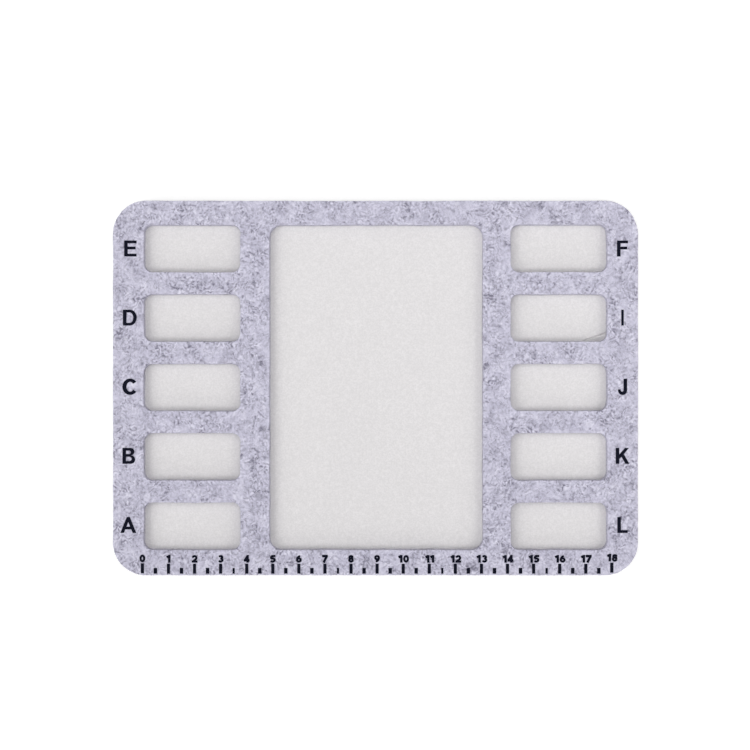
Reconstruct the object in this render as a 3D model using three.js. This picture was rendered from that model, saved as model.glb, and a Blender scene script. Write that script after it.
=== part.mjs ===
// Bead board: a die-cut felt frame with eleven windows, bonded onto a soft bead mat.
// Millimetres, +Z up. The origin is at the middle of the underside, +X runs along the ruler
// and +Y points away from it. Nothing on the board moves.

import * as THREE from 'three';

// Windows: a column of small ones on each side of a large one
const SIDE_WINDOW_WIDTH = 37;
const SIDE_WINDOW_HEIGHT = 18.15;
const SIDE_WINDOW_RADIUS = 3.2;
const CENTRE_WINDOW_WIDTH = 81.9;
const CENTRE_WINDOW_SHIFT = 0.3;
const CENTRE_WINDOW_RADIUS = 4.6;

// Felt left standing around the windows
const SIDE_MARGIN = 11.7;
const TOP_MARGIN = 9.1;
const BOTTOM_MARGIN = 9.6;
const COLUMN_BAR = 10.95;
const ROW_BAR = 8.5;
const BOARD_RADIUS = 12.6;

// Layers, from the underside up
const MAT_THICKNESS = 3;
const ADHESIVE_THICKNESS = 0.25;
const FELT_THICKNESS = 3;
const FILM_THICKNESS = 0.125;
const MAT_INSET = 0.3;
const ADHESIVE_INSET = 0.6;

// Compartment letters, one beside each side window
const LETTER_HEIGHT = 6.1;
const LETTER_STEM = 1.35;
const LETTER_ARM = 1.05;
const ROUND_EXTRA = 0.22;
const ROUND_OVERSHOOT = 0.12;
const LETTER_INSET = 6.05;
const LETTER_SHIFT = 0.15;
const LETTER_LIFT = 0.25;
const LETTER_CREEP = 0.15;
const LEFT_COLUMN_LEAN = 0.2;
const LETTER_WIDTH = {
  A: 6.1,
  B: 4.85,
  C: 5.4,
  D: 5.3,
  E: 4.75,
  F: 4.25,
  I: 0.95,
  J: 3.5,
  K: 5.2,
  L: 3.95,
};
const LEFT_LETTERS = ['E', 'D', 'C', 'B', 'A'];
const RIGHT_LETTERS = ['F', 'I', 'J', 'K', 'L'];

// Ruler ticks along the lower edge
const RULER_PITCH = 10;
const RULER_END_MARGIN = 10;
const RULER_SHIFT = 0.6;
const TICK_EDGE_GAP = 0.55;
const LONG_TICK_LENGTH = 3.8;
const LONG_TICK_WIDTH = 1.22;
const SHORT_TICK_LENGTH = 2.2;
const SHORT_TICK_WIDTH = 1.32;
const THIN_TICK_WIDTH = 0.85;
const THIN_TICK_EVERY = 4;

// Segments in a quarter of a round corner, and in a quarter of a letter's bowl
const CORNER_SEGMENTS = 6;
const BOWL_SEGMENTS = 7;

// Sizes that follow from those above
const WINDOW_ROWS = LEFT_LETTERS.length;
const BOARD_WIDTH = 2 * (SIDE_MARGIN + SIDE_WINDOW_WIDTH + COLUMN_BAR) + CENTRE_WINDOW_WIDTH;
const COLUMN_HEIGHT = WINDOW_ROWS * SIDE_WINDOW_HEIGHT + (WINDOW_ROWS - 1) * ROW_BAR;
const BOARD_DEPTH = TOP_MARGIN + COLUMN_HEIGHT + BOTTOM_MARGIN;
const ROW_PITCH = SIDE_WINDOW_HEIGHT + ROW_BAR;
const COLUMN_X = (CENTRE_WINDOW_WIDTH + SIDE_WINDOW_WIDTH) / 2 + COLUMN_BAR;
const CENTRE_WINDOW_Y = (BOTTOM_MARGIN - TOP_MARGIN) / 2;
const TOP_ROW_Y = CENTRE_WINDOW_Y + ((WINDOW_ROWS - 1) / 2) * ROW_PITCH;
const FELT_BOTTOM = MAT_THICKNESS + ADHESIVE_THICKNESS;
const FELT_TOP = FELT_BOTTOM + FELT_THICKNESS;
const RULER_STEPS = Math.floor((BOARD_WIDTH - 2 * RULER_END_MARGIN) / RULER_PITCH);
const RULER_START = RULER_SHIFT - (RULER_STEPS * RULER_PITCH) / 2;
const QUARTER_TURN = Math.PI / 2;

const FELT = new THREE.MeshStandardMaterial({ color: 0xbfbdcc, roughness: 1, metalness: 0 });
const MAT = new THREE.MeshStandardMaterial({ color: 0xe2e0e1, roughness: 1, metalness: 0 });
const ADHESIVE = new THREE.MeshStandardMaterial({ color: 0xd8d4c4, roughness: 0.5, metalness: 0 });
const FILM = new THREE.MeshStandardMaterial({ color: 0x14161f, roughness: 0.6, metalness: 0 });

const board = new THREE.Group();

function addPiece(name, geometry, material, x, y, z) {
  const mesh = new THREE.Mesh(geometry, material);
  mesh.name = name;
  mesh.position.set(x, y, z);
  board.add(mesh);
}

function extrude(shape, depth, curveSegments) {
  return new THREE.ExtrudeGeometry(shape, { depth, curveSegments, bevelEnabled: false });
}

// Outlines with round corners

// The board's outline or a window's: its centre, half sizes and corner radius
const boardOutline = {
  x: 0,
  y: 0,
  halfWidth: BOARD_WIDTH / 2,
  halfHeight: BOARD_DEPTH / 2,
  radius: BOARD_RADIUS,
};

const centreWindow = {
  x: CENTRE_WINDOW_SHIFT,
  y: CENTRE_WINDOW_Y,
  halfWidth: CENTRE_WINDOW_WIDTH / 2,
  halfHeight: COLUMN_HEIGHT / 2,
  radius: CENTRE_WINDOW_RADIUS,
};

function sideWindow(side, row) {
  return {
    x: side * COLUMN_X,
    y: TOP_ROW_Y - row * ROW_PITCH,
    halfWidth: SIDE_WINDOW_WIDTH / 2,
    halfHeight: SIDE_WINDOW_HEIGHT / 2,
    radius: SIDE_WINDOW_RADIUS,
  };
}

const windows = [centreWindow];
for (let row = 0; row < WINDOW_ROWS; row += 1) {
  windows.push(sideWindow(-1, row), sideWindow(1, row));
}

// The same outline drawn in by a distance, or let out where the distance is negative
function inset(outline, distance) {
  return {
    ...outline,
    halfWidth: outline.halfWidth - distance,
    halfHeight: outline.halfHeight - distance,
    radius: outline.radius - distance,
  };
}

// The centres of an outline's four corner arcs, with the angle at which each arc starts
function cornerArcs({ x, y, halfWidth, halfHeight, radius }) {
  const right = x + halfWidth - radius;
  const left = x - halfWidth + radius;
  const top = y + halfHeight - radius;
  const bottom = y - halfHeight + radius;
  return [[right, top], [left, top], [left, bottom], [right, bottom]].map(
    ([cx, cy], quarter) => ({ cx, cy, start: quarter * QUARTER_TURN }),
  );
}

function trace(path, outline) {
  for (const { cx, cy, start } of cornerArcs(outline)) {
    path.absarc(cx, cy, outline.radius, start, start + QUARTER_TURN, false);
  }
  path.closePath();
  return path;
}

function frameShape(edgeInset) {
  const shape = trace(new THREE.Shape(), inset(boardOutline, edgeInset));
  for (const opening of windows) {
    shape.holes.push(trace(new THREE.Path(), inset(opening, -edgeInset)));
  }
  return shape;
}

// The three sheets, from the top down

function addSheet(name, shape, thickness, material, z) {
  addPiece(name, extrude(shape, thickness, CORNER_SEGMENTS), material, 0, 0, z);
}

const matShape = trace(new THREE.Shape(), inset(boardOutline, MAT_INSET));
addSheet('felt_frame', frameShape(0), FELT_THICKNESS, FELT, FELT_BOTTOM);
addSheet('adhesive_film', frameShape(ADHESIVE_INSET), ADHESIVE_THICKNESS, ADHESIVE, MAT_THICKNESS);
addSheet('bead_mat', matShape, MAT_THICKNESS, MAT, 0);

// Letters, each drawn from its lower left corner, with heights as shares of a letter's height

const MIDDLE_ARM_HEIGHT = 0.53 * LETTER_HEIGHT;
const MIDDLE_ARM_SHARE = 0.92;
const DIAGONAL_EXTRA = 0.15;

function polygon(points) {
  return new THREE.Shape(points.map(([x, y]) => new THREE.Vector2(x, y)));
}

// A counter or an outline with a straight left side and a round right side
function bowl(path, left, right, low, high, roundWidth) {
  const roundX = right - roundWidth;
  const middle = (low + high) / 2;
  const roundHeight = (high - low) / 2;
  path.moveTo(left, low);
  path.lineTo(roundX, low);
  path.absellipse(roundX, middle, roundWidth, roundHeight, -QUARTER_TURN, QUARTER_TURN, false, 0);
  path.lineTo(left, high);
  path.closePath();
  return path;
}

function letterA(width) {
  const legWidth = LETTER_STEM;
  const apexWidth = 0.85 * legWidth;
  const barLow = 0.22 * LETTER_HEIGHT;
  const barHigh = barLow + LETTER_ARM;
  const lean = (width - apexWidth) / 2 / LETTER_HEIGHT;
  const innerLeft = (y) => legWidth + lean * y;
  const innerRight = (y) => width - innerLeft(y);
  const shape = polygon([
    [0, 0],
    [legWidth, 0],
    [innerLeft(barLow), barLow],
    [innerRight(barLow), barLow],
    [width - legWidth, 0],
    [width, 0],
    [(width + apexWidth) / 2, LETTER_HEIGHT],
    [(width - apexWidth) / 2, LETTER_HEIGHT],
  ]);
  const counterTop = (width / 2 - legWidth) / lean;
  shape.holes.push(polygon([
    [innerLeft(barHigh), barHigh],
    [width / 2, counterTop],
    [innerRight(barHigh), barHigh],
  ]));
  return shape;
}

function letterB(width) {
  const upperWidth = 0.94 * width;
  const waist = MIDDLE_ARM_HEIGHT;
  const lowerRound = waist / 2;
  const upperRound = (LETTER_HEIGHT - waist) / 2;
  const lowerX = width - lowerRound;
  const upperX = upperWidth - upperRound;
  const shape = new THREE.Shape();
  shape.moveTo(0, 0);
  shape.lineTo(lowerX, 0);
  shape.absarc(lowerX, lowerRound, lowerRound, -QUARTER_TURN, QUARTER_TURN, false);
  shape.lineTo(upperX, waist);
  shape.absarc(upperX, waist + upperRound, upperRound, -QUARTER_TURN, QUARTER_TURN, false);
  shape.lineTo(0, LETTER_HEIGHT);
  shape.closePath();
  const counters = [
    { right: width - LETTER_STEM, low: LETTER_ARM, high: waist - LETTER_ARM / 2 },
    { right: upperWidth - LETTER_STEM, low: waist + LETTER_ARM / 2, high: LETTER_HEIGHT - LETTER_ARM },
  ];
  for (const { right, low, high } of counters) {
    shape.holes.push(bowl(new THREE.Path(), LETTER_STEM, right, low, high, (high - low) / 2));
  }
  return shape;
}

function letterC(width) {
  const mouth = THREE.MathUtils.degToRad(37);
  const outerX = width / (1 + Math.cos(mouth));
  const outerY = LETTER_HEIGHT / 2 + ROUND_OVERSHOOT;
  const innerX = outerX - LETTER_STEM - ROUND_EXTRA;
  const innerY = outerY - LETTER_ARM - ROUND_EXTRA;
  const middle = LETTER_HEIGHT / 2;
  const end = 4 * QUARTER_TURN - mouth;
  const shape = new THREE.Shape();
  shape.absellipse(outerX, middle, outerX, outerY, mouth, end, false, 0);
  shape.absellipse(outerX, middle, innerX, innerY, end, mouth, true, 0);
  shape.closePath();
  return shape;
}

function letterD(width) {
  const roundWidth = 0.51 * width;
  const shape = bowl(new THREE.Shape(), 0, width, 0, LETTER_HEIGHT, roundWidth);
  const right = width - LETTER_STEM;
  const high = LETTER_HEIGHT - LETTER_ARM;
  const counterRound = roundWidth - LETTER_STEM;
  shape.holes.push(bowl(new THREE.Path(), LETTER_STEM, right, LETTER_ARM, high, counterRound));
  return shape;
}

// The upper part that E and F share, from the middle arm round to the top left corner
function armsAboveFoot(width) {
  const middleWidth = MIDDLE_ARM_SHARE * width;
  const armLow = MIDDLE_ARM_HEIGHT - LETTER_ARM / 2;
  return [
    [LETTER_STEM, armLow],
    [middleWidth, armLow],
    [middleWidth, armLow + LETTER_ARM],
    [LETTER_STEM, armLow + LETTER_ARM],
    [LETTER_STEM, LETTER_HEIGHT - LETTER_ARM],
    [width, LETTER_HEIGHT - LETTER_ARM],
    [width, LETTER_HEIGHT],
    [0, LETTER_HEIGHT],
  ];
}

function letterE(width) {
  const foot = [[0, 0], [width, 0], [width, LETTER_ARM], [LETTER_STEM, LETTER_ARM]];
  return polygon([...foot, ...armsAboveFoot(width)]);
}

function letterF(width) {
  return polygon([[0, 0], [LETTER_STEM, 0], ...armsAboveFoot(width)]);
}

function letterI(width) {
  return polygon([[0, 0], [width, 0], [width, LETTER_HEIGHT], [0, LETTER_HEIGHT]]);
}

function letterJ(width) {
  const outerRadius = width / 2;
  const stemLeft = width - LETTER_STEM;
  const hookX = (stemLeft + LETTER_ARM) / 2;
  const hookRadiusX = (stemLeft - LETTER_ARM) / 2;
  const outerDepth = outerRadius + ROUND_OVERSHOOT;
  const hookRadiusY = outerDepth - LETTER_ARM - ROUND_EXTRA;
  const hookTop = outerRadius + 0.05 * LETTER_HEIGHT;
  const shape = new THREE.Shape();
  shape.moveTo(width, LETTER_HEIGHT);
  shape.lineTo(stemLeft, LETTER_HEIGHT);
  shape.lineTo(stemLeft, outerRadius);
  shape.absellipse(hookX, outerRadius, hookRadiusX, hookRadiusY, 0, -2 * QUARTER_TURN, true, 0);
  shape.lineTo(LETTER_ARM, hookTop);
  shape.lineTo(0, hookTop);
  shape.lineTo(0, outerRadius);
  const start = 2 * QUARTER_TURN;
  shape.absellipse(outerRadius, outerRadius, outerRadius, outerDepth, start, 2 * start, false, 0);
  shape.closePath();
  return shape;
}

function letterK(width) {
  const limbWidth = LETTER_STEM + DIAGONAL_EXTRA;
  const armRight = 0.97 * width;
  const armRootLow = 0.3 * LETTER_HEIGHT;
  const armRootHigh = 0.58 * LETTER_HEIGHT;
  const crotch = [LETTER_STEM + 0.16 * width, 0.45 * LETTER_HEIGHT];
  const elbow = [LETTER_STEM + 0.34 * width, 0.61 * LETTER_HEIGHT];
  return polygon([
    [0, 0],
    [LETTER_STEM, 0],
    [LETTER_STEM, armRootLow],
    crotch,
    [width - limbWidth, 0],
    [width, 0],
    elbow,
    [armRight, LETTER_HEIGHT],
    [armRight - limbWidth, LETTER_HEIGHT],
    [LETTER_STEM, armRootHigh],
    [LETTER_STEM, LETTER_HEIGHT],
    [0, LETTER_HEIGHT],
  ]);
}

function letterL(width) {
  return polygon([
    [0, 0],
    [width, 0],
    [width, LETTER_ARM],
    [LETTER_STEM, LETTER_ARM],
    [LETTER_STEM, LETTER_HEIGHT],
    [0, LETTER_HEIGHT],
  ]);
}

const drawLetter = {
  A: letterA,
  B: letterB,
  C: letterC,
  D: letterD,
  E: letterE,
  F: letterF,
  I: letterI,
  J: letterJ,
  K: letterK,
  L: letterL,
};

// The letters step down a little less than the windows do, and a column may lean
function addLetters(letters, columnX, lean) {
  letters.forEach((letter, row) => {
    const rowsAboveMiddle = (WINDOW_ROWS - 1) / 2 - row;
    const width = LETTER_WIDTH[letter];
    const centreX = columnX + rowsAboveMiddle * lean;
    const centreY = CENTRE_WINDOW_Y + LETTER_LIFT + rowsAboveMiddle * (ROW_PITCH - LETTER_CREEP);
    const geometry = extrude(drawLetter[letter](width), FILM_THICKNESS, BOWL_SEGMENTS);
    const left = centreX - width / 2;
    const foot = centreY - LETTER_HEIGHT / 2;
    addPiece(`letter_${letter}`, geometry, FILM, left, foot, FELT_TOP);
  });
}

const letterColumnX = BOARD_WIDTH / 2 - LETTER_INSET;
addLetters(LEFT_LETTERS, LETTER_SHIFT - letterColumnX, LEFT_COLUMN_LEAN);
addLetters(RIGHT_LETTERS, LETTER_SHIFT + letterColumnX, 0);

// Ruler ticks, which follow the board's lower edge where it curves up at the corners

function edgeRise(x) {
  const intoCorner = Math.abs(x) - (BOARD_WIDTH / 2 - BOARD_RADIUS);
  if (intoCorner <= 0) {
    return 0;
  }
  return BOARD_RADIUS - Math.sqrt(BOARD_RADIUS ** 2 - intoCorner ** 2);
}

function addTick(name, x, width, length) {
  const outerSide = Math.abs(x) + width / 2;
  const y = TICK_EDGE_GAP + edgeRise(outerSide) - BOARD_DEPTH / 2;
  const shape = polygon([[-width / 2, 0], [width / 2, 0], [width / 2, length], [-width / 2, length]]);
  addPiece(name, extrude(shape, FILM_THICKNESS, BOWL_SEGMENTS), FILM, x, y, FELT_TOP);
}

for (let step = 0; step <= RULER_STEPS; step += 1) {
  const x = RULER_START + step * RULER_PITCH;
  addTick(`ruler_tick_${step}`, x, LONG_TICK_WIDTH, LONG_TICK_LENGTH);
}

for (let step = 0; step < RULER_STEPS; step += 1) {
  const x = RULER_START + (step + 0.5) * RULER_PITCH;
  const thin = step % THIN_TICK_EVERY === THIN_TICK_EVERY - 1;
  addTick(`ruler_half_tick_${step}`, x, thin ? THIN_TICK_WIDTH : SHORT_TICK_WIDTH, SHORT_TICK_LENGTH);
}

export default board;
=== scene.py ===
"""Bead board: the soft finish of a felt tray frame on a bead mat, with film letters and a ruler."""

import itertools
import math

import bpy
import numpy as np
from mathutils.geometry import delaunay_2d_cdt
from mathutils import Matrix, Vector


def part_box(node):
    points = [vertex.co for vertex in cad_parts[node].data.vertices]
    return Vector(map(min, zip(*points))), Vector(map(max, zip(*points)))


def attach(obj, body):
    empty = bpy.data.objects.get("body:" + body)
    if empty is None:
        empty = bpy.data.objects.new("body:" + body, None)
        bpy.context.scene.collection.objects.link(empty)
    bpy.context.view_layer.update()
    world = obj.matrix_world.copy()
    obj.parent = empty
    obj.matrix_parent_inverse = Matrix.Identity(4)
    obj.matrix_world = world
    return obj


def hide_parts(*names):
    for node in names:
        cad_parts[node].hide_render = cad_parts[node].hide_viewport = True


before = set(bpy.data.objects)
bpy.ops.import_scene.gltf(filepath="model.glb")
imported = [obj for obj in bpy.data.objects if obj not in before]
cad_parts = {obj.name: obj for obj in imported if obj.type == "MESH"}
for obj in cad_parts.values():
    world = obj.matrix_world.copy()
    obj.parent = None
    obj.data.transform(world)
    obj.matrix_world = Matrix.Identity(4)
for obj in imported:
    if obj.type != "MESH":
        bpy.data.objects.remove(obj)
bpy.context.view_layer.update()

# Lengths in this script are millimetres, and MM brings them to Blender's metres
MM = 0.001
SEED = 20

# Whole numbers that scramble the corners of a noise's grid, and the shift of the grid for each seed
NOISE_PRIMES = (374761393, 668265263, 2147483647)
NOISE_SCRAMBLE = 1274126177
NOISE_SEED_SHIFT = 17.31

# Flat faces: scatter of their points as a share of the spacing, and the gap at which points merge
GRID_JITTER = 0.3
SHEET_MERGE = 1e-7
FILM_MERGE = 1e-5

# Layout of the windows, inside the board that the frame gives
CENTRE_WINDOW_WIDTH = 81.9
CENTRE_WINDOW_SHIFT = 0.3
SIDE_MARGIN = 11.7
TOP_MARGIN = 9.1
BOTTOM_MARGIN = 9.6
COLUMN_BAR = 10.95
ROW_BAR = 8.5
WINDOW_ROWS = 5
BOARD_RADIUS = 12.6
SIDE_WINDOW_RADIUS = 3.2
CENTRE_WINDOW_RADIUS = 4.6

# Cut edge of the felt: how far it draws in, from the flared foot of the wall to the flat of the top
FELT_EDGE = (
    (-0.12, 0.00),
    (-0.07, 0.25),
    (0.03, 0.90),
    (0.00, 1.50),
    (0.04, 2.10),
    (0.02, 2.60),
    (0.05, 2.86),
    (0.12, 2.96),
    (0.26, 3.00),
)
FELT_STEP = 0.55
FELT_UNDERSIDE_STEP = 3.0
CUT_WANDER = 0.10
CUT_WANDER_CELL = 6.0
CUT_FRAY = 0.10
CUT_FRAY_CELL = 0.9
CUT_PROUD = 0.10

# Lumps of the felt's top, which the pressed-on film flattens
LUMPS = ((3.2, 0.06), (1.4, 0.06), (0.8, 0.04))
LUMP_SINK = 0.05
FILM_SEAT = 0.005
PRESS_REACH = (0.3, 1.3)

# Rounded edge and slight swells of the mat
MAT_EDGE = (
    (0.55, 0.00),
    (0.18, 0.10),
    (0.00, 0.55),
    (0.03, 1.50),
    (0.00, 2.45),
    (0.18, 2.88),
    (0.55, 3.00),
)
MAT_STEP = 1.0
MAT_UNDERSIDE_STEP = 4.0
MAT_SWELLS = ((7.0, 0.03), (1.8, 0.015))
MAT_SWELL_REACH = (0.2, 2.0)

# A small crease across one corner of a right-hand window
CREASE_START = (80.1, 18.0)
CREASE_END = (90.3, 21.7)
CREASE_DEPTH = 0.70
CREASE_WIDTH = 0.28
CREASE_LIP = 0.12
CREASE_LIP_WIDTH = 1.2
CREASE_LIP_PLACE = 0.8
CREASE_FADE = (0.5, 1.0)
CREASE_STEP = 0.13
CREASE_BAND = (-1.2, 2.4)
CREASE_RUN_ON = 0.6

# Loose fibres: curly ones on the top, and short ones out of the cut edges, mostly near the rim
FIBRE_THICKNESS = (0.6, 1.2)
FIBRE_TIP = 0.35
TOP_FIBRES = 3600
TOP_FIBRE_POINTS = 9
TOP_FIBRE_LENGTH = (1.6, 5.0)
TOP_FIBRE_RADIUS = 0.03
TOP_FIBRE_CURL = 0.495
TOP_FIBRE_WOBBLE = 0.27
TOP_FIBRE_LIFT = 0.10
TOP_FIBRE_LIFT_RANGE = (0.2, 1.0)
TOP_FIBRE_OFF_EDGE = 0.5
TOP_FIBRE_OFF_FILM = 0.25
EDGE_FIBRES_PER_MM = 4.6
EDGE_FIBRE_POINTS = 4
EDGE_FIBRE_LENGTH = (0.25, 0.95)
EDGE_FIBRE_RADIUS = 0.028
EDGE_FIBRE_ROOT = 0.13
EDGE_FIBRE_SCATTER = 0.4
EDGE_FIBRE_LEAN = 1.1
EDGE_FIBRE_CURL = 0.25
EDGE_FIBRE_CROWDING = 3.0
EDGE_FIBRE_HIGHEST = 0.97
EDGE_FIBRE_RISE = (-0.3, 0.35)
EDGE_FIBRE_DROOP = 0.25
EDGE_FIBRE_LOWEST = 0.05

# Numerals of the ruler: upright digits, those of straight strokes a little bolder than the round ones
DIGIT_HEIGHT = 2.95
DIGIT_WIDTH = 2.25
NARROW_DIGIT_WIDTH = 1.60
ROUND_STROKE = 0.84
STRAIGHT_STROKE = 0.94
STRAIGHT_DIGITS = "147"
DIGIT_GAP = 0.25
NUMERAL_GAP = 0.42
NUMERAL_SHIFT = 0.2
LAST_NUMERAL_TILT = -3.0
RULER_END = 18
ARC_STEPS = 10

# Camera straight above
VIEW_CENTRE = (-0.2, 5.0)
VIEW_WIDTH = 287.6
VIEW_DISTANCE = 550.0
SENSOR_WIDTH = 36.0

# Soft lights: name, place, size, and about what share of a plain level each gives
LIGHTS = (
    ("overhead_light", (0.0, 115.0, 380.0), 220.0, 0.230),
    ("high_left_light", (-1204.0, -694.0, 1438.0), 880.0, 0.184),
    ("low_left_light", (-1582.0, -914.0, 814.0), 880.0, 0.080),
    ("near_left_light", (-312.0, 0.0, 281.0), 300.0, 0.115),
    ("high_right_light", (602.0, -347.0, 719.0), 440.0, 0.090),
    ("near_right_light", (365.0, 0.0, 237.0), 300.0, 0.155),
    ("back_light", (0.0, 340.0, 212.0), 300.0, 0.070),
    ("front_light", (0.0, -1600.0, 625.0), 750.0, 0.075),
)
AMBIENT = 0.12

# Floor: how bright it is to the camera by itself near the board, and where that fades to white
FLOOR_SIZE = 6000.0
FLOOR_GAP = 0.02
FLOOR_GREY = 0.50
FLOOR_GLOW = 0.66
FLOOR_FADE = (150.0, 450.0)


def lattice_noise(points, cell, seed):
    """Smooth noise from -1 to 1 at points in mm, with about one bump each cell."""
    scaled = points / cell + seed * NOISE_SEED_SHIFT
    corner = np.floor(scaled).astype(np.int64)
    part = scaled - corner
    ease = part * part * (3 - 2 * part)
    total = np.zeros(len(points))
    for step in itertools.product((0, 1), repeat=points.shape[1]):
        hashed = np.full(len(points), seed * NOISE_SCRAMBLE, dtype=np.int64)
        weight = np.ones(len(points))
        for axis, (side, prime) in enumerate(zip(step, NOISE_PRIMES)):
            hashed = hashed + (corner[:, axis] + side) * prime
            weight = weight * (ease[:, axis] if side else 1 - ease[:, axis])
        hashed = (hashed ^ (hashed >> 13)) * NOISE_SCRAMBLE
        value = ((hashed ^ (hashed >> 16)) & 0xFFFF) / 0x7FFF - 1.0
        total += value * weight
    return total


def smooth_step(value, low, high):
    """0 below low, 1 above high and an eased rise between."""
    share = np.clip((value - low) / (high - low), 0, 1)
    return share * share * (3 - 2 * share)


class Outline:
    """A rounded rectangle in plan."""

    def __init__(self, low, high, radius):
        self.low = np.array(low, float)
        self.high = np.array(high, float)
        self.radius = radius
        self.straights = (self.high - self.low) - 2 * radius
        self.arc = radius * math.pi / 2
        self.perimeter = 2 * self.straights.sum() + 4 * self.arc

    def area(self):
        width, depth = self.high - self.low
        return width * depth - (4 - math.pi) * self.radius**2

    def inset(self, margin):
        return Outline(self.low + margin, self.high - margin, self.radius - margin)

    def distance(self, points):
        """Distance of points from the outline, below 0 inside it."""
        middle = (self.low + self.high) / 2
        beyond = np.abs(points - middle) - (self.high - self.low) / 2 + self.radius
        outside = np.linalg.norm(np.maximum(beyond, 0), axis=1)
        return outside + np.minimum(beyond.max(axis=1), 0) - self.radius

    def walk(self, spacing):
        """Points about spacing apart, anticlockwise, with their outward normals."""
        count = round(self.perimeter / spacing)
        along = np.arange(count) * self.perimeter / count
        points = np.zeros((count, 2))
        normals = np.zeros((count, 2))
        near, far = self.low + self.radius, self.high - self.radius
        corners = np.array([(far[0], near[1]), far, (near[0], far[1]), near])
        start = 0.0
        for quarter in range(4):
            turn = quarter * math.pi / 2
            heading = np.array((math.cos(turn), math.sin(turn)))
            outward = np.array((math.sin(turn), -math.cos(turn)))
            length = self.straights[quarter % 2]
            straight = (along >= start) & (along < start + length)
            begin = corners[quarter - 1] + self.radius * outward
            points[straight] = begin + (along[straight] - start)[:, None] * heading
            normals[straight] = outward
            start += length
            bend = (along >= start) & (along < start + self.arc)
            angle = turn - math.pi / 2 + (along[bend] - start) / self.radius
            normals[bend] = np.column_stack([np.cos(angle), np.sin(angle)])
            points[bend] = corners[quarter] + self.radius * normals[bend]
            start += self.arc
        return points, normals


def node_box(name):
    """Lowest and highest corner of a CAD node in mm."""
    low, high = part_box(name)
    return np.array(low) / MM, np.array(high) / MM


FELT_LOW, FELT_HIGH = node_box("felt_frame")
MAT_LOW, MAT_HIGH = node_box("bead_mat")
FELT_TOP = FELT_HIGH[2]
FILM_TOP = node_box("letter_A")[1][2]
MAT_INSET = MAT_LOW[0] - FELT_LOW[0]


def window_outlines():
    """The centre window and the two columns of side windows."""
    bottom = FELT_LOW[1] + BOTTOM_MARGIN
    top = FELT_HIGH[1] - TOP_MARGIN
    half = CENTRE_WINDOW_WIDTH / 2
    sides = CENTRE_WINDOW_SHIFT - half, CENTRE_WINDOW_SHIFT + half
    windows = [Outline((sides[0], bottom), (sides[1], top), CENTRE_WINDOW_RADIUS)]
    height = (top - bottom - (WINDOW_ROWS - 1) * ROW_BAR) / WINDOW_ROWS
    for row in range(WINDOW_ROWS):
        low = bottom + row * (height + ROW_BAR)
        spans = (
            (FELT_LOW[0] + SIDE_MARGIN, -half - COLUMN_BAR),
            (half + COLUMN_BAR, FELT_HIGH[0] - SIDE_MARGIN),
        )
        for left, right in spans:
            windows.append(Outline((left, low), (right, low + height), SIDE_WINDOW_RADIUS))
    return windows


BOARD = Outline(FELT_LOW[:2], FELT_HIGH[:2], BOARD_RADIUS)
WINDOWS = window_outlines()


def new_object(name, vertices, faces, material):
    """A smooth mesh piece from points in mm, riding on the board."""
    mesh = bpy.data.meshes.new(name)
    mesh.from_pydata((np.asarray(vertices) * MM).tolist(), [], faces)
    mesh.polygons.foreach_set("use_smooth", np.ones(len(mesh.polygons), dtype=bool))
    mesh.materials.append(material)
    mesh.update()
    piece = bpy.data.objects.new(name, mesh)
    bpy.context.scene.collection.objects.link(piece)
    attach(piece, "root")
    return piece


def node(tree, kind, inputs=None, **settings):
    """Adds a node, with sockets linked and plain values set by input name."""
    made = tree.nodes.new(kind)
    for key, value in settings.items():
        setattr(made, key, value)
    for key, value in (inputs or {}).items():
        if isinstance(value, bpy.types.NodeSocket):
            tree.links.new(value, made.inputs[key])
        else:
            made.inputs[key].default_value = value
    return made


def new_material(name, **values):
    """A material, its node tree, its shader, and object coordinates in mm."""
    material = bpy.data.materials.new(name)
    material.use_nodes = True
    tree = material.node_tree
    shader = tree.nodes["Principled BSDF"]
    for key, value in values.items():
        shader.inputs[key.replace("_", " ")].default_value = value
    spot = node(tree, "ShaderNodeTexCoord").outputs["Object"]
    place = node(tree, "ShaderNodeVectorMath", {0: spot, "Scale": 1 / MM}, operation="SCALE")
    return material, tree, shader, place.outputs[0]


def maths(tree, operation, *values):
    """The result of a Math node on values or sockets."""
    return node(tree, "ShaderNodeMath", dict(enumerate(values)), operation=operation).outputs[0]


def moved(tree, place, offset):
    """Coordinates moved by an offset, which is three numbers or a socket."""
    return node(tree, "ShaderNodeVectorMath", {0: place, 1: offset}, operation="ADD").outputs[0]


def noise(tree, place, feature, detail=0.0, output="Fac", rough=0.5):
    """A noise pattern with features of about that many mm."""
    inputs = {"Vector": place, "Scale": 1 / feature, "Detail": detail, "Roughness": rough}
    return node(tree, "ShaderNodeTexNoise", inputs).outputs[output]


def ramp(tree, value, low, high, start=0.0, end=1.0):
    """An eased change from start to end as value goes from low to high."""
    inputs = {"Value": value, "From Min": low, "From Max": high, "To Min": start, "To Max": end}
    made = node(tree, "ShaderNodeMapRange", inputs, interpolation_type="SMOOTHSTEP")
    return made.outputs["Result"]


def mixed(tree, share, first, second):
    """Two colours mixed by share."""
    made = node(tree, "ShaderNodeMix", data_type="RGBA")
    for index, value in ((0, share), (6, first), (7, second)):
        if isinstance(value, bpy.types.NodeSocket):
            tree.links.new(value, made.inputs[index])
        else:
            made.inputs[index].default_value = value
    return made.outputs[2]


def weighed(tree, *terms):
    """The sum of patterns about 0, each times its weight."""
    total = 0.0
    for pattern, weight in terms:
        part = maths(tree, "MULTIPLY", maths(tree, "SUBTRACT", pattern, 0.5), weight)
        total = maths(tree, "ADD", total, part)
    return total


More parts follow.
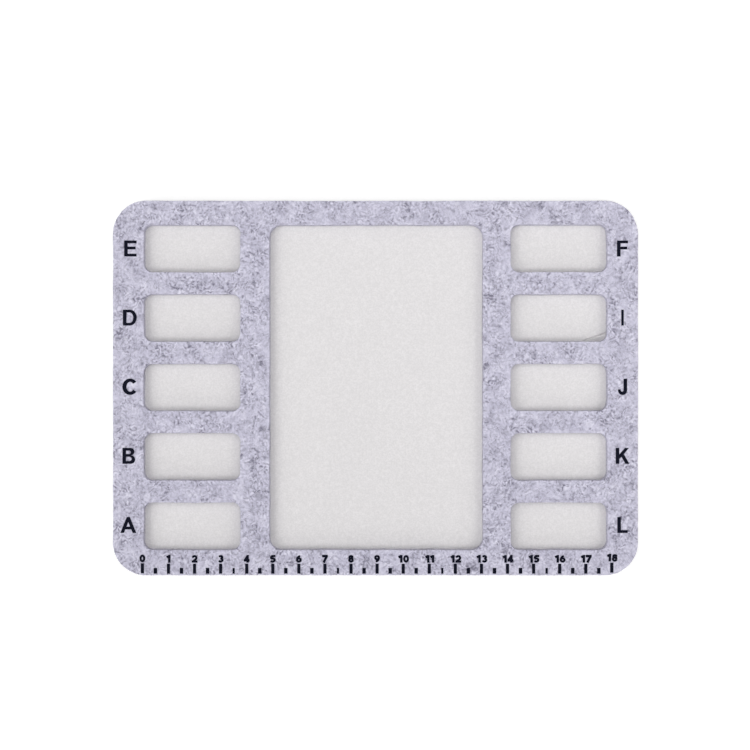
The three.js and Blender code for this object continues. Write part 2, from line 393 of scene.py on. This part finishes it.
def curled(tree, place, feature, push):
    """Coordinates bent by a noise, so that straight strokes curl."""
    bend = noise(tree, place, feature, 1.0, "Color")
    about_zero = moved(tree, bend, (-0.5, -0.5, -0.5))
    shift = node(tree, "ShaderNodeVectorMath", {0: about_zero, "Scale": push}, operation="SCALE")
    return moved(tree, place, shift.outputs[0])


def strokes(tree, place, patch, count):
    """Patches of that many mm with short parallel strokes, in all directions."""
    inputs = {"Vector": place, "Scale": 1 / patch, "Frequency": count, "Anisotropy": 0.0}
    return node(tree, "ShaderNodeTexGabor", inputs, gabor_type="3D").outputs["Value"]


FELT_PALE = (0.735, 0.72, 0.828, 1)
FELT_BASE = (0.557, 0.542, 0.66, 1)
FELT_DARK = (0.19, 0.18, 0.24, 1)
# Darker colour for the felt's steep cut walls: painted shade, standing in for the shade these walls get
# from the lights
FELT_WALL_PAINTED_SHADE = (0.26, 0.25, 0.29, 1)


def felt_material():
    """Marled needle felt: pale lavender grey, clouded, with dark and pale curly fibres, and painted shade
    on its steep cut walls.
    """
    material, tree, shader, place = new_material(
        "felt", Roughness=0.95, Sheen_Weight=0.12, Sheen_Roughness=0.5, Specular_IOR_Level=0.1
    )
    curls = curled(tree, place, 2.5, 2.6)
    long_hairs = strokes(tree, curls, 4.2, 3.0)
    short_hairs = strokes(tree, moved(tree, curls, (9.0, 4.0, 2.0)), 3.0, 3.2)
    density = noise(tree, moved(tree, place, (2.0, 1.0, 7.0)), 9.0, 2.0, rough=0.6)
    cloud = noise(tree, place, 6.0, 3.0, rough=0.8)
    hairs = weighed(tree, (long_hairs, 1.05), (short_hairs, 0.85))
    hairs = maths(tree, "MULTIPLY", hairs, ramp(tree, density, 0.3, 0.7, 0.6, 1.4))
    tone = maths(tree, "ADD", hairs, weighed(tree, (cloud, 1.2), (density, -0.3)))
    colour = mixed(tree, ramp(tree, tone, -0.05, 0.55), FELT_BASE, FELT_PALE)
    colour = mixed(tree, ramp(tree, tone, -0.60, 0.12, 0.95, 0.0), colour, FELT_DARK)
    facing = node(tree, "ShaderNodeTexCoord").outputs["Normal"]
    upward = node(tree, "ShaderNodeSeparateXYZ", {"Vector": facing}).outputs["Z"]
    # Painted shade: where the surface turns away from facing up, as on the cut walls and the rounded rim,
    # the colour darkens towards the wall colour
    colour = mixed(tree, ramp(tree, upward, 0.10, 0.50, 0.32, 0.0), colour, FELT_WALL_PAINTED_SHADE)
    grain = noise(tree, place, 0.35, 1.0)
    height = maths(tree, "ADD", hairs, maths(tree, "MULTIPLY", grain, 0.5))
    bump = node(tree, "ShaderNodeBump", {"Height": height, "Strength": 0.4, "Distance": 0.12 * MM})
    tree.links.new(colour, shader.inputs["Base Color"])
    tree.links.new(bump.outputs[0], shader.inputs["Normal"])
    return material


MAT_COLOUR = (0.80, 0.782, 0.79, 1)
MAT_SHADE = (0.66, 0.645, 0.65, 1)


def mat_material():
    """Soft off-white bead mat with a short dense nap."""
    material, tree, shader, place = new_material(
        "bead_mat_nap", Roughness=1.0, Sheen_Weight=0.15, Sheen_Roughness=0.6, Specular_IOR_Level=0.1
    )
    drift = noise(tree, place, 9.0, 2.0)
    nap = noise(tree, place, 0.55, 2.0)
    lean = noise(tree, moved(tree, place, (4.0, 9.0, 2.0)), 1.6, 2.0)
    colour = mixed(tree, ramp(tree, drift, 0.3, 0.7, 0.12, 0.0), MAT_COLOUR, MAT_SHADE)
    colour = mixed(tree, ramp(tree, nap, 0.3, 0.7, 0.60, 0.0), colour, MAT_SHADE)
    colour = mixed(tree, ramp(tree, lean, 0.3, 0.7, 0.30, 0.0), colour, MAT_SHADE)
    height = maths(tree, "ADD", maths(tree, "MULTIPLY", nap, 0.6), lean)
    bump = node(tree, "ShaderNodeBump", {"Height": height, "Strength": 0.25, "Distance": 0.08 * MM})
    tree.links.new(colour, shader.inputs["Base Color"])
    tree.links.new(bump.outputs[0], shader.inputs["Normal"])
    return material


FILM_INK = (0.002, 0.0025, 0.009, 1)
FILM_WORN = (0.006, 0.007, 0.017, 1)


def film_material():
    """Satin blue-black heat-transfer film that takes up the grain of the felt below."""
    material, tree, shader, place = new_material("film", Specular_IOR_Level=0.06)
    grain = noise(tree, place, 0.5, 2.0)
    wear = noise(tree, place, 1.8, 3.0)
    colour = mixed(tree, ramp(tree, wear, 0.5, 0.75), FILM_INK, FILM_WORN)
    roughness = ramp(tree, grain, 0.3, 0.7, 0.45, 0.65)
    bump = node(tree, "ShaderNodeBump", {"Height": grain, "Strength": 0.3, "Distance": 0.05 * MM})
    tree.links.new(colour, shader.inputs["Base Color"])
    tree.links.new(roughness, shader.inputs["Roughness"])
    tree.links.new(bump.outputs[0], shader.inputs["Normal"])
    return material


ADHESIVE_MILKY = (0.70, 0.67, 0.58, 1)
ADHESIVE_CLEAR = (0.58, 0.55, 0.47, 1)


def adhesive_material():
    """Thin milky hot-melt film with a few clearer patches."""
    material, tree, shader, place = new_material("adhesive", Specular_IOR_Level=0.4)
    patches = noise(tree, place, 2.5, 3.0)
    colour = mixed(tree, ramp(tree, patches, 0.4, 0.65), ADHESIVE_MILKY, ADHESIVE_CLEAR)
    bump = node(tree, "ShaderNodeBump", {"Height": patches, "Strength": 0.3, "Distance": 0.05 * MM})
    tree.links.new(colour, shader.inputs["Base Color"])
    tree.links.new(ramp(tree, patches, 0.3, 0.7, 0.4, 0.6), shader.inputs["Roughness"])
    tree.links.new(bump.outputs[0], shader.inputs["Normal"])
    return material


DARK_FIBRE_TONES = (0.15, 0.145, 0.19, 1), (0.28, 0.27, 0.34, 1)
PALE_FIBRE_TONES = (0.55, 0.54, 0.64, 1), (0.74, 0.73, 0.80, 1)


def fibre_material(name, low, high):
    """Single loose fibres, each a little lighter or darker than the next."""
    material, tree, shader, place = new_material(
        name, Roughness=0.8, Sheen_Weight=0.1, Specular_IOR_Level=0.15
    )
    colour = mixed(tree, ramp(tree, noise(tree, place, 0.8, 1.0), 0.35, 0.65), low, high)
    tree.links.new(colour, shader.inputs["Base Color"])
    return material


FELT_MATERIAL = felt_material()
MAT_MATERIAL = mat_material()
FILM_MATERIAL = film_material()
ADHESIVE_MATERIAL = adhesive_material()
DARK_FIBRE_MATERIAL = fibre_material("dark_fibres", *DARK_FIBRE_TONES)
PALE_FIBRE_MATERIAL = fibre_material("pale_fibres", *PALE_FIBRE_TONES)


def finish_film_nodes():
    """Gives each film letter and tick its material."""
    names = [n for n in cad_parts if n.startswith(("letter_", "ruler_"))]
    for name in names:
        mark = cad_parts[name]
        mark.data.materials.clear()
        mark.data.materials.append(FILM_MATERIAL)
    return names


def finish_adhesive():
    """Gives the film between felt and mat its material."""
    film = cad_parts["adhesive_film"]
    film.data.materials.clear()
    film.data.materials.append(ADHESIVE_MATERIAL)


def arc(centre, radii, start, end):
    """Points along part of an ellipse, between two angles in degrees."""
    angles = np.radians(np.linspace(start, end, ARC_STEPS + 1))
    return np.asarray(centre) + np.column_stack([np.cos(angles), np.sin(angles)]) * radii


def digit_strokes():
    """Centre lines of the ten digits, each a list of strokes from its lower left corner."""
    left = foot = ROUND_STROKE / 2
    right = DIGIT_WIDTH - ROUND_STROKE / 2
    head = DIGIT_HEIGHT - ROUND_STROKE / 2
    middle = (left + right) / 2
    half = (right - left) / 2
    tall = (head - foot) / 2
    upper = 0.46 * tall
    lower = tall - upper
    crossing = 0.30 * DIGIT_HEIGHT
    stem = 0.66 * DIGIT_WIDTH
    narrow_stem = NARROW_DIGIT_WIDTH - STRAIGHT_STROKE / 2
    bowl = 0.58 * tall
    six = [
        arc((middle, foot + bowl), (half, bowl), 0, 180),
        arc((middle, foot + bowl), (half, bowl), 180, 360),
        arc((right, foot + bowl), (2 * half, 2 * tall - bowl), 180, 105),
    ]
    size = np.array((DIGIT_WIDTH, DIGIT_HEIGHT))
    ring = [arc((middle, DIGIT_HEIGHT / 2), (half, tall), start, start + 180) for start in (0, 180)]
    return {
        "0": ring,
        "1": [[(narrow_stem, 0), (narrow_stem, DIGIT_HEIGHT)], [(narrow_stem, head), (0.1, head - 0.5)]],
        "2": [
            [*arc((middle, head - half), (half, half), 165, -35), (left, foot)],
            [(0.05, foot), (DIGIT_WIDTH, foot)],
        ],
        "3": [
            arc((middle, head - upper), (0.9 * half, upper), 150, -90),
            arc((middle, foot + lower), (half, lower), 90, -150),
        ],
        "4": [
            [(stem, head), (left, crossing)],
            [(0, crossing), (DIGIT_WIDTH, crossing)],
            [(stem, 0), (stem, DIGIT_HEIGHT)],
        ],
        "5": [
            [(left + 0.1, head), (DIGIT_WIDTH - 0.1, head)],
            [(left + 0.15, head), (left, DIGIT_HEIGHT / 2)],
            arc((middle - 0.1, foot + bowl), (half + 0.1, bowl), 135, -145),
        ],
        "6": six,
        "7": [[(0, head), (DIGIT_WIDTH, head)], [(right, head), (left + 0.2, 0)]],
        "8": [
            arc((middle, head - upper), (0.85 * half, upper), 0, 360),
            arc((middle, foot + lower), (half, lower), 0, 360),
        ],
        "9": [size - np.asarray(stroke) for stroke in six],
    }


DIGITS = digit_strokes()


def stroke_cover(points, width):
    """Flat shapes that cover a stroke along points: a box on each stretch and a disc at each bend."""
    points = np.asarray(points, float)
    shapes = []
    for start, end in zip(points, points[1:]):
        along = (end - start) / np.linalg.norm(end - start)
        side = np.array((-along[1], along[0])) * width / 2
        shapes.append([start - side, end - side, end + side, start + side])
    for bend in points[1:-1]:
        shapes.append(list(arc(bend, (width / 2, width / 2), 0, 360)[:-1]))
    return shapes


def film_solid(name, shapes, place):
    """One thin closed film that covers overlapping flat shapes, carried to its place by a function."""
    counts = np.cumsum([0] + [len(shape) for shape in shapes])
    rims = [list(range(start, end)) for start, end in zip(counts, counts[1:])]
    found = delaunay_2d_cdt(np.vstack(shapes).tolist(), [], rims, 1, FILM_MERGE)
    plan = place(np.array([tuple(point) for point in found[0]]))
    cover = [tuple(corners) for corners, inside in zip(found[2], found[5]) if len(inside)]
    count = len(plan)
    sides = {(a, b) for face in cover for a, b in zip(face, face[1:] + face[:1])}
    rim = [(a, b, b + count, a + count) for a, b in sides if (b, a) not in sides]
    faces = [face[::-1] for face in cover]
    faces += [tuple(corner + count for corner in face) for face in cover]
    levels = [np.column_stack([plan, np.full(count, height)]) for height in (FELT_TOP, FILM_TOP)]
    piece = new_object(name, np.vstack(levels), faces + sorted(rim), FILM_MATERIAL)
    piece.data.polygons.foreach_set("use_smooth", np.zeros(len(piece.data.polygons), dtype=bool))
    return plan.min(axis=0), plan.max(axis=0)


def numeral(mark):
    """The number above one long tick, in film of the same kind."""
    low, high = node_box(f"ruler_tick_{mark}")
    shapes = []
    start = 0.0
    for digit in str(mark):
        width = STRAIGHT_STROKE if digit in STRAIGHT_DIGITS else ROUND_STROKE
        for stroke in DIGITS[digit]:
            shapes += stroke_cover(np.asarray(stroke) + (start, 0.0), width)
        start += (NARROW_DIGIT_WIDTH if digit == "1" else DIGIT_WIDTH) + DIGIT_GAP
    middle = np.array(((start - DIGIT_GAP) / 2, DIGIT_HEIGHT / 2))
    shift = NUMERAL_SHIFT * (len(str(mark)) - 1)
    seat = np.array(((low[0] + high[0]) / 2 + shift, high[1] + NUMERAL_GAP)) + (0, DIGIT_HEIGHT / 2)
    tilt = math.radians(LAST_NUMERAL_TILT if mark == RULER_END else 0.0)
    turn = np.array(((math.cos(tilt), math.sin(tilt)), (-math.sin(tilt), math.cos(tilt))))
    return film_solid(f"ruler_number_{mark}", shapes, lambda points: (points - middle) @ turn + seat)


finish_adhesive()
FILM_BOXES = [(low[:2], high[:2]) for low, high in map(node_box, finish_film_nodes())]
FILM_BOXES += [numeral(mark) for mark in range(RULER_END + 1)]


def off_film(points):
    """Distance in plan from the nearest film mark's box."""
    nearest = np.full(len(points), np.inf)
    for low, high in FILM_BOXES:
        beyond = np.maximum(np.maximum(low - points, points - high), 0)
        nearest = np.minimum(nearest, np.linalg.norm(beyond, axis=1))
    return nearest


def felt_height(points):
    """Height of the felt's top at points in plan, lumpy but pressed flat under the film."""
    lumps = np.full(len(points), -LUMP_SINK)
    for index, (cell, tall) in enumerate(LUMPS):
        lumps += tall * lattice_noise(points, cell, SEED + index)
    free = smooth_step(off_film(points), *PRESS_REACH)
    return FELT_TOP + FILM_SEAT * (1 - free) + lumps * free


CREASE_RUN = np.subtract(CREASE_END, CREASE_START)
CREASE_LENGTH = np.linalg.norm(CREASE_RUN)
CREASE_HEADING = CREASE_RUN / CREASE_LENGTH
CREASE_SIDE = np.array((CREASE_HEADING[1], -CREASE_HEADING[0]))


def crease(points):
    """A small crease in the mat: the height of its groove, and of a low lip on the corner's side."""
    along = (points - CREASE_START) @ CREASE_HEADING
    across = (points - CREASE_START) @ CREASE_SIDE
    groove = -CREASE_DEPTH * np.exp(-((across / CREASE_WIDTH) ** 2))
    lip = CREASE_LIP * np.exp(-((across / CREASE_LIP_WIDTH - CREASE_LIP_PLACE) ** 2))
    outer, inner = CREASE_FADE
    begun = smooth_step(along, -outer, inner)
    ended = smooth_step(along, CREASE_LENGTH - inner, CREASE_LENGTH + outer)
    ends = begun * (1 - ended)
    return groove * ends, lip * ends


def mat_height(points):
    """Height of the mat's top at points in plan, swelling a little inside the windows."""
    inside = np.max([-w.distance(points) for w in WINDOWS], axis=0)
    swell = np.zeros(len(points))
    for index, (cell, tall) in enumerate(MAT_SWELLS):
        swell += tall * lattice_noise(points, cell, SEED + 10 + index)
    groove, lip = crease(points)
    return MAT_HIGH[2] + groove + (swell + lip) * smooth_step(inside, *MAT_SWELL_REACH)


def cut_edge(outline, inward, profile, foot, spacing):
    """Rings of points up a cut edge, a little wavy and frayed, from its foot to its flat top."""
    points, normals = outline.walk(spacing)
    into = normals * inward
    wander = CUT_WANDER * lattice_noise(points, CUT_WANDER_CELL, SEED + 20)
    rings = []
    for depth, height in profile:
        level = np.column_stack([points, np.full(len(points), foot + height)])
        fray = CUT_FRAY * lattice_noise(level, CUT_FRAY_CELL, SEED + 21)
        level[:, :2] += into * (depth + wander + fray)[:, None]
        rings.append(level)
    return rings


def fill_flat(loops, spacing, keep, rng, extra):
    """Triangles inside the first loop and outside the others, over a jittered grid and extra points."""
    low = np.min([loop.min(axis=0) for loop in loops], axis=0)
    high = np.max([loop.max(axis=0) for loop in loops], axis=0)
    steps = [np.arange(low[axis] + spacing, high[axis], spacing) for axis in (0, 1)]
    grid = np.stack(np.meshgrid(*steps), axis=-1).reshape(-1, 2)
    grid += rng.uniform(-GRID_JITTER, GRID_JITTER, grid.shape) * spacing
    grid = np.vstack([grid[keep(grid)], extra])
    starts = np.cumsum([0] + [len(loop) for loop in loops])
    rims = [list(range(start, end)) for start, end in zip(starts, starts[1:])]
    points = np.vstack([*loops, grid])
    found = delaunay_2d_cdt(points.tolist(), [], rims, 1, SHEET_MERGE)
    kept = [corners for corners, inside in zip(found[2], found[5]) if list(inside) == [0]]
    return grid, np.array(kept)


def slab(name, outer, holes, profile, foot, step, under_step, top_height, material, extra=()):
    """A soft sheet with holes: shaped cut edges, a lumpy top with extra points, and a flat underside."""
    rng = np.random.default_rng(SEED)
    none = np.zeros((0, 2))
    extra = np.vstack([none, *extra])
    edges = [cut_edge(outer, -1, profile, foot, step)]
    edges += [cut_edge(hole, 1, profile, foot, step) for hole in holes]
    tops = [rings[-1][:, :2] for rings in edges]
    feet = [rings[0][:, :2] for rings in edges]

    def keep_clear(margin):
        def keep(points):
            kept = outer.distance(points) < -margin
            for hole in holes:
                kept &= hole.distance(points) > margin
            return kept
        return keep

    top_grid, top_faces = fill_flat(tops, step, keep_clear(profile[-1][0] + step), rng, extra)
    foot_grid, foot_faces = fill_flat(feet, under_step, keep_clear(profile[0][0] + under_step), rng, none)
    vertices = []
    faces = []
    top_index = []
    foot_index = []
    start = 0
    for number, rings in enumerate(edges):
        count = len(rings[0])
        rings[-1][:, 2] = top_height(rings[-1][:, :2])
        vertices += rings
        here = np.arange(count)
        after = (here + 1) % count
        for level in range(len(rings) - 1):
            low = start + level * count
            high = low + count
            quads = np.column_stack([low + here, low + after, high + after, high + here])
            faces += (quads if number == 0 else quads[:, ::-1]).tolist()
        foot_index.append(start + here)
        top_index.append(start + (len(rings) - 1) * count + here)
        start += len(rings) * count
    vertices.append(np.column_stack([top_grid, top_height(top_grid)]))
    top_index.append(start + np.arange(len(top_grid)))
    start += len(top_grid)
    vertices.append(np.column_stack([foot_grid, np.full(len(foot_grid), foot)]))
    foot_index.append(start + np.arange(len(foot_grid)))
    faces += np.concatenate(top_index)[top_faces].tolist()
    faces += np.concatenate(foot_index)[foot_faces][:, ::-1].tolist()
    return new_object(name, np.vstack(vertices), faces, material)


def crease_points():
    """A fine band of points along the crease, so that the mat's mesh can follow it."""
    along = np.arange(-CREASE_RUN_ON, CREASE_LENGTH + CREASE_RUN_ON, CREASE_STEP)
    across = np.arange(*CREASE_BAND, CREASE_STEP)
    rows = np.stack(np.meshgrid(along, across), axis=-1).reshape(-1, 2)
    return CREASE_START + rows[:, :1] * CREASE_HEADING + rows[:, 1:] * CREASE_SIDE


FELT_CUT = Outline(BOARD.low - CUT_PROUD, BOARD.high + CUT_PROUD, BOARD_RADIUS + CUT_PROUD)
felt = slab(
    "felt_sheet", FELT_CUT, WINDOWS, FELT_EDGE, FELT_LOW[2], FELT_STEP, FELT_UNDERSIDE_STEP,
    felt_height, FELT_MATERIAL,
)
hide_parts("felt_frame")
mat = slab(
    "mat_sheet", BOARD.inset(MAT_INSET), [], MAT_EDGE, MAT_LOW[2], MAT_STEP, MAT_UNDERSIDE_STEP,
    mat_height, MAT_MATERIAL, [crease_points()],
)
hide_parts("bead_mat")


def tubes(name, paths, radii, material):
    """Fine closed fibres of three sides along paths, tapering by radii at each point."""
    count, points = radii.shape
    along = np.gradient(paths, axis=1)
    along /= np.linalg.norm(along, axis=2, keepdims=True)
    side = np.cross(along, np.array((0.0, 0.0, 1.0)))
    side /= np.maximum(np.linalg.norm(side, axis=2, keepdims=True), 1e-6)
    rise = np.cross(side, along)
    ring = []
    for corner in range(3):
        angle = math.pi / 2 + corner * 2 * math.pi / 3
        ring.append(paths + radii[..., None] * (math.cos(angle) * side + math.sin(angle) * rise))
    vertices = np.stack(ring, axis=2).reshape(-1, 3)
    first = np.arange(count)[:, None] * points * 3
    faces = []
    for step, corner in itertools.product(range(points - 1), range(3)):
        here = first + step * 3 + corner
        beside = first + step * 3 + (corner + 1) % 3
        faces.append(np.hstack([here, beside, beside + 3, here + 3]))
    sides = np.vstack(faces).tolist()
    last = first + (points - 1) * 3
    ends = np.vstack([np.hstack([first + 2, first + 1, first]), np.hstack([last, last + 1, last + 2])])
    return new_object(name, vertices, sides + ends.tolist(), material)


def taper(points):
    """Share of the full radius along a fibre, thin at both ends."""
    along = np.linspace(0, 1, points)
    return FIBRE_TIP + (1 - FIBRE_TIP) * np.sin(math.pi * along)


def top_fibres(name, material, rng):
    """Curly fibres that lie in the felt's top and rise out of it in between."""
    spots = rng.uniform(FELT_LOW[:2], FELT_HIGH[:2], (TOP_FIBRES * 4, 2))
    lengths = rng.uniform(*TOP_FIBRE_LENGTH, len(spots))
    steps = TOP_FIBRE_POINTS - 1
    curl = rng.normal(0, TOP_FIBRE_CURL, (len(spots), 1))
    wobble = rng.normal(0, TOP_FIBRE_WOBBLE, (len(spots), steps))
    headings = rng.uniform(0, 2 * math.pi, (len(spots), 1)) + np.cumsum(curl + wobble, axis=1)
    hops = np.stack([np.cos(headings), np.sin(headings)], axis=-1) * (lengths / steps)[:, None, None]
    plan = np.concatenate([spots[:, None], spots[:, None] + np.cumsum(hops, axis=1)], axis=1)
    flat = plan.reshape(-1, 2)
    clear = BOARD.distance(flat) < -TOP_FIBRE_OFF_EDGE
    for window in WINDOWS:
        clear &= window.distance(flat) > TOP_FIBRE_OFF_EDGE
    clear &= off_film(flat) > TOP_FIBRE_OFF_FILM
    plan = plan[clear.reshape(len(spots), -1).all(axis=1)][:TOP_FIBRES]
    count = len(plan)
    height = felt_height(plan.reshape(-1, 2)).reshape(count, -1)
    arch = np.sin(math.pi * np.linspace(0, 1, TOP_FIBRE_POINTS))
    lift = TOP_FIBRE_LIFT * rng.uniform(*TOP_FIBRE_LIFT_RANGE, (count, 1))
    height += arch * lift - TOP_FIBRE_RADIUS
    paths = np.concatenate([plan, height[..., None]], axis=2)
    radii = TOP_FIBRE_RADIUS * rng.uniform(*FIBRE_THICKNESS, (count, 1)) * taper(TOP_FIBRE_POINTS)
    return tubes(name, paths, radii, material)


def edge_fibres(name, material, rng):
    """Short fibres that stand out of the cut edges."""
    starts = []
    outs = []
    for outline, inward in [(BOARD, -1)] + [(window, 1) for window in WINDOWS]:
        points, normals = outline.walk(1 / EDGE_FIBRES_PER_MM)
        starts.append(points + normals * inward * EDGE_FIBRE_ROOT)
        outs.append(-normals * inward)
    starts = np.vstack(starts)
    outs = np.vstack(outs)
    count = len(starts)
    along = np.column_stack([-outs[:, 1], outs[:, 0]])
    starts = starts + along * rng.uniform(-EDGE_FIBRE_SCATTER, EDGE_FIBRE_SCATTER, (count, 1))
    lengths = rng.uniform(*EDGE_FIBRE_LENGTH, (count, 1))
    lean = rng.uniform(-EDGE_FIBRE_LEAN, EDGE_FIBRE_LEAN, (count, 1))
    curl = rng.normal(0, EDGE_FIBRE_CURL, (count, 1))
    share = np.linspace(0, 1, EDGE_FIBRE_POINTS)[None, :]
    reach = lengths * share * np.cos(lean)
    slide = lengths * (share * np.sin(lean) + curl * share**2)
    tall = EDGE_FIBRE_HIGHEST * (FELT_TOP - FELT_LOW[2])
    foot = FELT_LOW[2] + tall * rng.beta(EDGE_FIBRE_CROWDING, 1.0, (count, 1))
    rise = rng.uniform(*EDGE_FIBRE_RISE, (count, 1))
    height = foot + lengths * (rise * share - EDGE_FIBRE_DROOP * share**2)
    height = np.maximum(height, FELT_LOW[2] + EDGE_FIBRE_LOWEST)
    plan = starts[:, None] + outs[:, None] * reach[..., None] + along[:, None] * slide[..., None]
    paths = np.concatenate([plan, height[..., None]], axis=2)
    radii = EDGE_FIBRE_RADIUS * rng.uniform(*FIBRE_THICKNESS, (count, 1)) * taper(EDGE_FIBRE_POINTS)
    return tubes(name, paths, radii, material)


fibres = [
    top_fibres("felt_dark_fibres", DARK_FIBRE_MATERIAL, np.random.default_rng(SEED + 1)),
    top_fibres("felt_pale_fibres", PALE_FIBRE_MATERIAL, np.random.default_rng(SEED + 2)),
    edge_fibres("felt_edge_fibres", PALE_FIBRE_MATERIAL, np.random.default_rng(SEED + 3)),
]

felt_area = BOARD.area() - sum(window.area() for window in WINDOWS)
mat_cut = BOARD.inset(MAT_INSET)
mat_cut.area() * MM * MM


def camera_above():
    """A camera straight above, with the photograph's framing."""
    data = bpy.data.cameras.new("camera")
    data.sensor_width = SENSOR_WIDTH
    data.lens = SENSOR_WIDTH * VIEW_DISTANCE / VIEW_WIDTH
    camera = bpy.data.objects.new("camera", data)
    camera.location = [c * MM for c in (*VIEW_CENTRE, FELT_TOP + VIEW_DISTANCE)]
    bpy.context.scene.collection.objects.link(camera)
    bpy.context.scene.camera = camera


def soft_light(name, place, size, share):
    """A square soft light aimed at the board, giving about that share of a plain level."""
    data = bpy.data.lights.new(name, "AREA")
    data.shape = "SQUARE"
    data.size = size * MM
    reach = np.linalg.norm(place)
    data.energy = share * math.pi**2 * (reach * MM) ** 2 * reach / place[2]
    light = bpy.data.objects.new(name, data)
    light.location = [c * MM for c in place]
    aim = light.location.to_track_quat("Z", "Y")
    light.rotation_euler = aim.to_euler()
    bpy.context.scene.collection.objects.link(light)


def seen_background(tree):
    """1 where the background is looked at, also in a gloss or through glass, and 0 where it lights."""
    paths = node(tree, "ShaderNodeLightPath")
    seen = maths(tree, "MAXIMUM", paths.outputs["Is Camera Ray"], paths.outputs["Is Glossy Ray"])
    return maths(tree, "MAXIMUM", seen, paths.outputs["Is Transmission Ray"])


def floor_material():
    """Floor that keeps a light shadow near the board and stays white to the camera further out."""
    material, tree, shader, place = new_material("floor", Roughness=1.0, Specular_IOR_Level=0.0)
    shader.inputs["Base Color"].default_value = (FLOOR_GREY, FLOOR_GREY, FLOOR_GREY, 1)
    away = node(tree, "ShaderNodeVectorMath", {0: place}, operation="LENGTH").outputs["Value"]
    fade = ramp(tree, away, *FLOOR_FADE, FLOOR_GLOW, 1.0)
    glow = maths(tree, "MULTIPLY", seen_background(tree), fade)
    shader.inputs["Emission Color"].default_value = (1, 1, 1, 1)
    tree.links.new(glow, shader.inputs["Emission Strength"])
    return material


def floor():
    """A plain white floor that isn't part of the board."""
    half = FLOOR_SIZE / 2 * MM
    mesh = bpy.data.meshes.new("floor")
    corners = [(-half, -half), (half, -half), (half, half), (-half, half)]
    mesh.from_pydata([(x, y, -FLOOR_GAP * MM) for x, y in corners], [], [(0, 1, 2, 3)])
    mesh.materials.append(floor_material())
    plane = bpy.data.objects.new("floor", mesh)
    bpy.context.scene.collection.objects.link(plane)


def world_light():
    """White to the camera, and a little even light on the board."""
    world = bpy.data.worlds.new("world")
    bpy.context.scene.world = world
    world.use_nodes = True
    tree = world.node_tree
    background = tree.nodes["Background"]
    strength = maths(tree, "MAXIMUM", seen_background(tree), AMBIENT)
    background.inputs["Color"].default_value = (1, 1, 1, 1)
    tree.links.new(strength, background.inputs["Strength"])


bpy.context.scene.view_settings.view_transform = "Standard"
camera_above()
for light in LIGHTS:
    soft_light(*light)
floor()
world_light()
